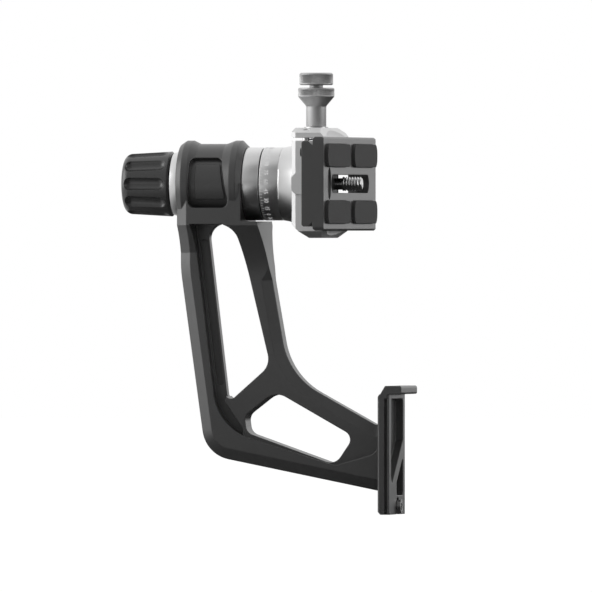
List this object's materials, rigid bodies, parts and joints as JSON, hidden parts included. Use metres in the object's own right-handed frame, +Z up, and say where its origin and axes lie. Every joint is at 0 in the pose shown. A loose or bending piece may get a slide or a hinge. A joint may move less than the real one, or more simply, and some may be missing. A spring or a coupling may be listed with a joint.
{
  "type": "gimbal tripod head",
  "caption": "Side-mount gimbal head: black offset truss arm with dovetail foot, tilting hub with degree scale, lock knob, screw clamp and long padded quick-release plate.",
  "frame": {"origin": "centre of the foot plate's mating face", "axes": "+X leaves the foot plate's mating face, +Z runs up the arm towards the tilt axis, and the tilt axis runs along X"},
  "size_m": [0.1289, 0.1235, 0.1969],
  "materials": {
    "black_anodised": "black anodised, fine bead blasted",
    "satin_aluminium": "clear anodised, fine turned lines",
    "knurled_aluminium": "grey anodised, straight knurl",
    "bright_steel": "plain bright",
    "black_steel": "black oxide",
    "bearing_steel": "ground",
    "spring_steel": "drawn wire",
    "dark_polymer": "moulded",
    "pad_rubber": "matt, lightly textured",
    "knob_black": "semi-gloss black",
    "insert_brass": "machined"
  },
  "bodies": {
    "arm": {"offset_arm": "black_anodised", "foot_stop_screw": "bright_steel", "knob_side_collar": "satin_aluminium", "bearing_cap": "satin_aluminium", "friction_washer": "dark_polymer", "left_bearing_outer_ring": "bearing_steel", "right_bearing_outer_ring": "bearing_steel", "left_bearing_balls": "bearing_steel", "right_bearing_balls": "bearing_steel"},
    "tilt_head": {"tilt_axle": "bright_steel", "left_bearing_inner_ring": "bearing_steel", "right_bearing_inner_ring": "bearing_steel", "axle_spacer": "satin_aluminium", "thrust_sleeve": "bright_steel", "thrust_washer": "bright_steel", "scale_ring": "satin_aluminium", "flared_hub": "satin_aluminium", "hub_centre_screw": "black_steel", "hub_screws": "black_steel", "clamp_base": "satin_aluminium", "index_tab": "satin_aluminium", "jaw_guide_pins": "bright_steel", "jaw_springs": "spring_steel"},
    "clamp_jaw": {"clamp_jaw": "satin_aluminium"},
    "clamp_knob": {"clamp_knob": "knurled_aluminium", "draw_screw": "bright_steel", "knob_washer": "bright_steel"},
    "quick_plate": {"quick_plate": "black_anodised", "plate_pads": "pad_rubber", "plate_stop_screws": "black_steel"},
    "screw_slider": {"screw_washer": "dark_polymer"},
    "camera_screw": {"camera_screw": "bright_steel"},
    "lock_knob": {"lock_knob": "knob_black", "lock_knob_insert": "insert_brass", "lock_knob_cap": "knob_black"}
  },
  "joints": [
    {"name": "tilt", "type": "hinge", "parent": "arm", "child": "tilt_head", "pos_m": [-0.06, 0, 0.1203], "axis": [1, 0, 0], "continuous": true},
    {"name": "lock_knob_turn", "type": "hinge", "parent": "tilt_head", "child": "lock_knob", "pos_m": [-0.112, 0, 0.1203], "axis": [-1, 0, 0], "range_deg": [0, 180]},
    {"name": "clamp_knob_turn", "type": "hinge", "parent": "clamp_jaw", "child": "clamp_knob", "pos_m": [-0.0367, 0, 0.1203], "axis": [0, 0, 1], "range_deg": [0, 1620.1]},
    {"name": "jaw_slide", "type": "slide", "parent": "tilt_head", "child": "clamp_jaw", "axis": [0, 0, 1], "range_m": [0, 0.0045], "deforming": ["jaw_springs"]},
    {"name": "plate_slide", "type": "slide", "parent": "tilt_head", "child": "quick_plate", "axis": [0, 1, 0], "range_m": [-0.0265, 0.018]},
    {"name": "screw_slide", "type": "slide", "parent": "quick_plate", "child": "screw_slider", "axis": [0, 1, 0], "range_m": [-0.036, 0.044]},
    {"name": "camera_screw_turn", "type": "hinge", "parent": "screw_slider", "child": "camera_screw", "pos_m": [-0.0193, 0.0016, 0.1203], "axis": [1, 0, 0], "continuous": true}
  ],
  "couplings": [
    {"joint": "clamp_knob_turn", "follows": "jaw_slide", "rad_per_m": 6283.2}
  ]
}
